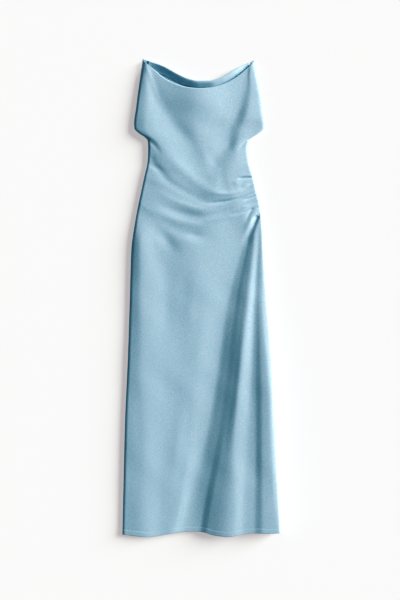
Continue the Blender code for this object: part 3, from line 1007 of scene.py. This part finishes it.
@dataclass
class FrontPanel:
    """The front, with its cap sleeves, rolled neck edge, gathers and turned hem.

    Towards the shoulder tips the neck's roll shrinks to its least size and least turn, over a
    share of the edge's length. The cloth is lifted over the hem band, more gently at its edges.
    """

    drape: Drape
    finish: bpy.types.Material
    thread: bpy.types.Material
    columns: int = 118
    roll_steps: int = 7
    seam_run: float = 2.5
    sleeve_turn: float = math.radians(42)
    neck_radius: float = 3.6
    neck_turn: float = math.radians(165)
    neck_steps: int = 9
    neck_least: float = 0.28
    neck_least_turn: float = 0.4
    neck_fade: float = 0.2
    hem_lift: float = 0.45
    hem_lift_start: float = 1.15
    hem_lift_rate: float = 4.0
    hem_edge_rate: float = 3.0
    stitch_groove: float = 0.5
    groove_width: float = 1.3
    stitch_height: float = 0.05
    rows: Array = field(init=False)

    def row_y(self, level: float, across: Array) -> Array:
        """A row's Y: it follows the neckline at the top and the hem at the bottom."""
        sag = neck_drop("front", across) * sag_share(level)
        swing = max(0.0, 1.0 - (level - OUTLINE[-1].y) / SWING_RUN)
        return level - sag - hem_drop(across) * swing * swing

    def plan(self, level: float) -> tuple[Array, Array, Array]:
        """The X, Y and edge share of one row's points, from edge to edge."""
        closed = float(outline("closed", level))
        turn = self.sleeve_turn * (1 - closed)
        left_roll, right_roll = float(outline("left_roll", level)), float(outline("right_roll", level))
        left, right = float(outline("left", level)), float(outline("right", level))
        angles = turn + (math.pi / 2 - turn) * np.arange(self.roll_steps) / self.roll_steps
        inset = (math.cos(turn) - np.cos(angles)) / math.cos(turn)
        lift = (np.sin(angles) - math.sin(turn)) / (1 - math.sin(turn))
        inner = np.linspace(left + left_roll, right - right_roll, self.columns + 1)
        rolls = left + left_roll * inset, right - right_roll * inset[::-1]
        x = np.concatenate([[left], rolls[0], inner, rolls[1], [right]])
        share = np.concatenate([[0.0], lift, np.ones(len(inner)), lift[::-1], [0.0]])
        x[1] += self.seam_run * math.sin(turn)
        x[-2] -= self.seam_run * math.sin(turn)
        across = (2 * x - left - right) / (right - left)
        return x, self.row_y(level, across), share

    def surface(self) -> Array:
        """The grid of the front's outer face."""
        at = levels(FRONT_ROWS)
        plans = [self.plan(level) for level in at]
        x = np.array([p[0] for p in plans])
        y = np.array([p[1] for p in plans])
        share = np.array([p[2] for p in plans])
        top = self.drape.front(x, y)
        level = np.array(at)[:, None]
        closed = outline("closed", level)
        rim = outline("rim", level)
        run = self.seam_run * np.cos(self.sleeve_turn * (1 - closed))
        z = rim + run + (top - rim - run) * share
        z[:, :1], z[:, -1:] = rim, rim
        above = (level - FRONT_ROWS[-1].end) / HEM_DEPTH
        lifted = eased((self.hem_lift_start - above) * self.hem_lift_rate)
        z = z + self.hem_lift * lifted * np.minimum(share * self.hem_edge_rate, 1)
        from_stitches = (above - 1.0) * HEM_DEPTH / self.groove_width
        z = z - self.stitch_groove * np.exp(-(from_stitches**2)) * share
        x[:, 0] += SEAM_TUCK * closed[:, 0]
        x[:, -1] -= SEAM_TUCK * closed[:, 0]
        return np.stack([x, y, z], axis=2)

    def neck_roll(self, first: Array) -> Array:
        """Rows that turn the neck edge over and inwards, from the inside out."""
        ends = (first[:, 0] - first[0, 0]) / (first[-1, 0] - first[0, 0])
        middle = eased(np.minimum(ends, 1 - ends) / self.neck_fade)
        fullness = self.neck_least + (1 - self.neck_least) * middle
        turn = self.neck_turn * (self.neck_least_turn + (1 - self.neck_least_turn) * fullness)
        rows = []
        for step in range(self.neck_steps, 0, -1):
            angle = turn * step / self.neck_steps
            row = first.copy()
            row[:, 1] += self.neck_radius * fullness * np.sin(angle)
            row[:, 2] -= self.neck_radius * fullness * (1 - np.cos(angle))
            rows.append(row)
        return np.array(rows)

    def build(self, mesher: Mesher) -> bpy.types.Object:
        """Makes the front's cloth."""
        self.rows = self.surface()
        rows = np.concatenate([self.neck_roll(self.rows[0]), self.rows])
        return mesher.panel("front_cloth", rows, CLOTH, True, self.finish)

    def hem_band(self, mesher: Mesher) -> bpy.types.Object:
        """Makes the turned-up hem inside the front, from every other row above its edge."""
        rows = self.rows
        middle = rows[:, rows.shape[1] // 2, 1]
        within = middle < middle[-1] + HEM_DEPTH
        inner = rows - (CLOTH + BAND_GAP) * grid_normals(rows)
        side = self.roll_steps + 1
        band = inner[within][::-1][::2][::-1][:, side:-side]
        band[-1, :, 1] += BAND_INSET
        return mesher.panel("front_hem_band", band, CLOTH * BAND_THICKNESS, True, self.finish)

    def stitches(self, mesher: Mesher) -> bpy.types.Object:
        """Makes the row of stitches that holds the hem."""
        rows = self.rows
        up = grid_normals(rows)
        level = np.array(levels(FRONT_ROWS))
        row = int(np.argmin(np.abs(level - (FRONT_ROWS[-1].end + HEM_DEPTH))))
        path = rows[row] + up[row] * self.stitch_height
        return stitch_row(mesher, "front_hem_stitches", path, self.thread)


def stitch_row(
    mesher: Mesher, name: str, path: Array, thread: bpy.types.Material
) -> bpy.types.Object:
    """Lays stitches along a path on the cloth.

    Args:
        mesher: Makes the meshes.
        name: The piece's name.
        path: Points on the cloth's face, in order.
        thread: The thread's material.

    Returns:
        The stitches, as one piece.
    """
    pitch, length, radius = 3.6, 2.5, 0.22
    clear_before, clear_after = pitch * 2, pitch * 3
    reach = np.concatenate([[0.0], np.cumsum(np.linalg.norm(np.diff(path, axis=0), axis=1))])
    runs = []
    for start in np.arange(clear_before, reach[-1] - clear_after, pitch):
        first, last = (
            np.array([np.interp(at, reach, column) for column in path.T])
            for at in (start, start + length)
        )
        runs.append((first, last))
    return mesher.rods(name, runs, radius, thread)


@dataclass
class BackPanel:
    """The back, which lies on the surface with its sides curled up to the seams.

    The middle of its neck edge stands up a little, and sinks to the surface over a run below it.
    """

    drape: Drape
    finish: bpy.types.Material
    columns: int = 84
    hem_y: float = BACK_ROWS[-1].end
    neck_lift: float = 12.0
    neck_lift_run: float = 24.0
    neck_lift_fade: float = 0.45
    facing_level: float = 683.0
    facing_gap: float = 0.3
    facing_inset: float = 0.8
    rows: Array = field(init=False)

    def lift(self, across: Array, below: Array) -> Array:
        """How high the back stands, at a distance below its neck edge."""
        middle = eased((1 - np.abs(across)) / self.neck_lift_fade)
        return self.neck_lift * middle * eased(1 - below / self.neck_lift_run)

    def section(self, level: float) -> Array:
        """One row of the back's underside."""
        closed = float(outline("closed", level))
        turn = closed * math.pi / 2
        left, right = float(outline("left", level)), float(outline("right", level))
        run = np.cumsum([CURL_STEP * math.cos(turn * share) for share in CURL_TURNS])
        rise = np.cumsum([CURL_STEP * math.sin(turn * share) for share in CURL_TURNS])
        flat = np.linspace(left + run[-1], right - run[-1], self.columns + 1)
        x = np.concatenate([flat[0] - run[::-1], flat, flat[-1] + run])
        z = np.concatenate([rise[::-1], np.zeros(len(flat)), rise])
        x[0] += SEAM_TUCK * closed
        x[-1] -= SEAM_TUCK * closed
        across = np.clip((2 * x - left - right) / (right - left), -1.0, 1.0)
        neck = neck_drop("back", across)
        y = level - neck * sag_share(level)
        z = z + self.lift(across, OUTLINE[0].y - neck - y)
        return np.stack([x, np.maximum(y, self.hem_y), z], axis=1)

    def build(self, mesher: Mesher) -> bpy.types.Object:
        """Makes the back's cloth."""
        rows = np.array([self.section(level) for level in levels(BACK_ROWS)])
        inside = np.zeros(rows.shape[1])
        inside[len(CURL_TURNS) : -len(CURL_TURNS)] = 1.0
        rows[:, :, 2] += self.drape.back(rows[:, :, 0], rows[:, :, 1]) * inside
        self.rows = rows
        return mesher.panel("back_cloth", rows, CLOTH, False, self.finish)

    def facing(self, mesher: Mesher, finish: bpy.types.Material) -> bpy.types.Object:
        """Makes the band turned in under the back neckline, from the back's own points."""
        at = np.array(levels(BACK_ROWS))
        count = int(np.searchsorted(-at, -self.facing_level)) + 1
        moved = self.rows + (CLOTH + self.facing_gap) * grid_normals(self.rows)
        side = len(CURL_TURNS) + 2
        band = moved[:count, side:-side].copy()
        band[0, :, 1] -= self.facing_inset
        return mesher.panel("neck_facing_cloth", band, CLOTH, False, finish)

    def hem_band(self, mesher: Mesher) -> bpy.types.Object:
        """Makes the turned-up hem inside the back."""
        moved = self.rows + (CLOTH + BAND_GAP) * grid_normals(self.rows)
        within = self.rows[:, self.rows.shape[1] // 2, 1] < self.hem_y + HEM_DEPTH
        side = len(CURL_TURNS) + 1
        band = moved[within][:, side:-side].copy()
        band[-1, :, 1] += BAND_INSET
        return mesher.panel("back_hem_band", band, CLOTH * BAND_THICKNESS, False, self.finish)


@dataclass(frozen=True)
class Studio:
    """A pale floor, a low soft light from the right, and a camera straight above.

    Each curve holds pairs of a channel's rendered and graded value.
    """

    floor_tone: float = 0.5
    floor_glow: float = 0.405
    floor_reach: float = 12.0
    floor_roughness: float = 0.9
    floor_specular: float = 0.1
    sun_strength: float = 9.15
    sun_height: float = math.radians(20)
    sun_side: float = math.radians(22)
    sun_softness: float = math.radians(32)
    ambient: float = 0.1
    red_curve: Curve = (
        (0.083, 0.03), (0.115, 0.048), (0.145, 0.068), (0.175, 0.1), (0.21, 0.149), (0.245, 0.197),
        (0.3, 0.28), (0.4, 0.412), (0.445, 0.465), (0.48, 0.505), (0.93, 0.935),
    )
    green_curve: Curve = (
        (0.12, 0.085), (0.18, 0.14), (0.225, 0.18), (0.275, 0.235), (0.32, 0.29), (0.4, 0.388),
        (0.5, 0.5),
    )
    blue_curve: Curve = (
        (0.18, 0.16), (0.23, 0.212), (0.28, 0.255), (0.34, 0.317), (0.393, 0.386), (0.462, 0.462),
        (0.518, 0.524), (0.58, 0.588), (0.753, 0.748), (0.815, 0.803), (0.871, 0.855), (0.947, 0.947),
    )
    camera_height: float = 2.6
    centre_x: float = -4.5
    centre_y: float = -8.2
    view_length: float = 1.788
    view_reach: float = 50.0
    sensor: float = 36.0

    def floor(self) -> None:
        """Lays the floor."""
        mesh = bpy.data.meshes.new("floor")
        sides = ((-1, -1), (1, -1), (1, 1), (-1, 1))
        corners = [(self.floor_reach * x, self.floor_reach * y, 0.0) for x, y in sides]
        mesh.from_pydata(corners, [], [(0, 1, 2, 3)])
        floor = bpy.data.objects.new("floor", mesh)
        bpy.context.scene.collection.objects.link(floor)
        shade = Shade("pale_floor")
        shade.set({
            "Base Color": (self.floor_tone,) * 3 + (1.0,),
            "Roughness": self.floor_roughness,
            "Specular IOR Level": self.floor_specular,
            "Emission Color": WHITE,
            "Emission Strength": self.floor_glow,
        })
        mesh.materials.append(shade.material)

    def light(self) -> None:
        """Sets the soft main light and the pale surroundings."""
        lamp = bpy.data.lights.new("window_light", "SUN")
        lamp.energy = self.sun_strength
        lamp.angle = self.sun_softness
        sun = bpy.data.objects.new("window_light", lamp)
        towards = Vector((
            math.cos(self.sun_height) * math.cos(self.sun_side),
            math.cos(self.sun_height) * math.sin(self.sun_side),
            math.sin(self.sun_height),
        ))
        sun.rotation_euler = towards.to_track_quat("Z", "Y").to_euler()
        bpy.context.scene.collection.objects.link(sun)
        world = bpy.data.worlds.new("studio")
        world.use_nodes = True
        sky = world.node_tree.nodes["Background"].inputs
        sky["Color"].default_value = WHITE
        sky["Strength"].default_value = self.ambient
        bpy.context.scene.world = world
        self.grade()

    def grade(self) -> None:
        """Gives the picture the deep blue shadows and the pale highlights of a photograph."""
        settings = bpy.context.scene.view_settings
        settings.view_transform = "Standard"
        settings.use_curve_mapping = True
        curves = settings.curve_mapping.curves
        for curve, points in zip(curves, (self.red_curve, self.green_curve, self.blue_curve)):
            for shown, graded in points:
                curve.points.new(shown, graded)
        settings.curve_mapping.update()

    def camera(self) -> None:
        """Hangs the camera over the dress, looking straight down."""
        lens = bpy.data.cameras.new("camera")
        lens.sensor_width = self.sensor
        lens.lens = self.sensor * self.camera_height / self.view_length
        lens.clip_end = self.view_reach
        camera = bpy.data.objects.new("camera", lens)
        camera.location = (self.centre_x * MM, self.centre_y * MM, self.camera_height)
        bpy.context.scene.collection.objects.link(camera)
        bpy.context.scene.camera = camera


class Slot(Enum):
    """The record's material slots."""

    FRONT = "front_knit"
    BACK = "back_knit"
    FACING = "facing_knit"


def place_piece(piece: bpy.types.Object) -> None:
    """Sets a piece on the dress's one body."""
    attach(piece, "root")
    LOG.info("%s: %d faces", piece.name, len(piece.data.polygons))


def main() -> None:
    """Builds the dress, its surroundings and the camera."""
    logging.basicConfig(level=logging.INFO, format="%(message)s")
    studio = Studio()
    studio.camera()
    studio.floor()
    studio.light()
    mesher, drape = Mesher(), Drape()
    front_knit = Knit("front_blue_knit").make()
    back_knit = Knit("back_blue_knit").make()
    # The facing is the same knit as the dress, with painted light: its colours are 1.35 times lighter
    # to lift the shade inside the neck.
    facing_knit = Knit(
        "facing_knit_painted_lighter",
        deep=(0.33, 0.56, 0.7, 1.0),
        pale=(0.43, 0.66, 0.79, 1.0),
        sheen=0.1,
        sparkle=0.3,
    ).make()
    thread = Thread().make()

    front = FrontPanel(drape, front_knit, thread)
    front_cloth = front.build(mesher)
    front_hem = front.hem_band(mesher)
    front_stitches = front.stitches(mesher)
    back = BackPanel(drape, back_knit)
    back_cloth = back.build(mesher)
    back_hem = back.hem_band(mesher)
    facing = back.facing(mesher, facing_knit)

    for piece in (front_cloth, front_hem, front_stitches):
        place_piece(piece)
    for piece in (back_cloth, back_hem):
        place_piece(piece)
    place_piece(facing)
    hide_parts("front_panel")
    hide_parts("back_panel")
    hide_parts("back_neck_facing")


if __name__ == "__main__":
    main()
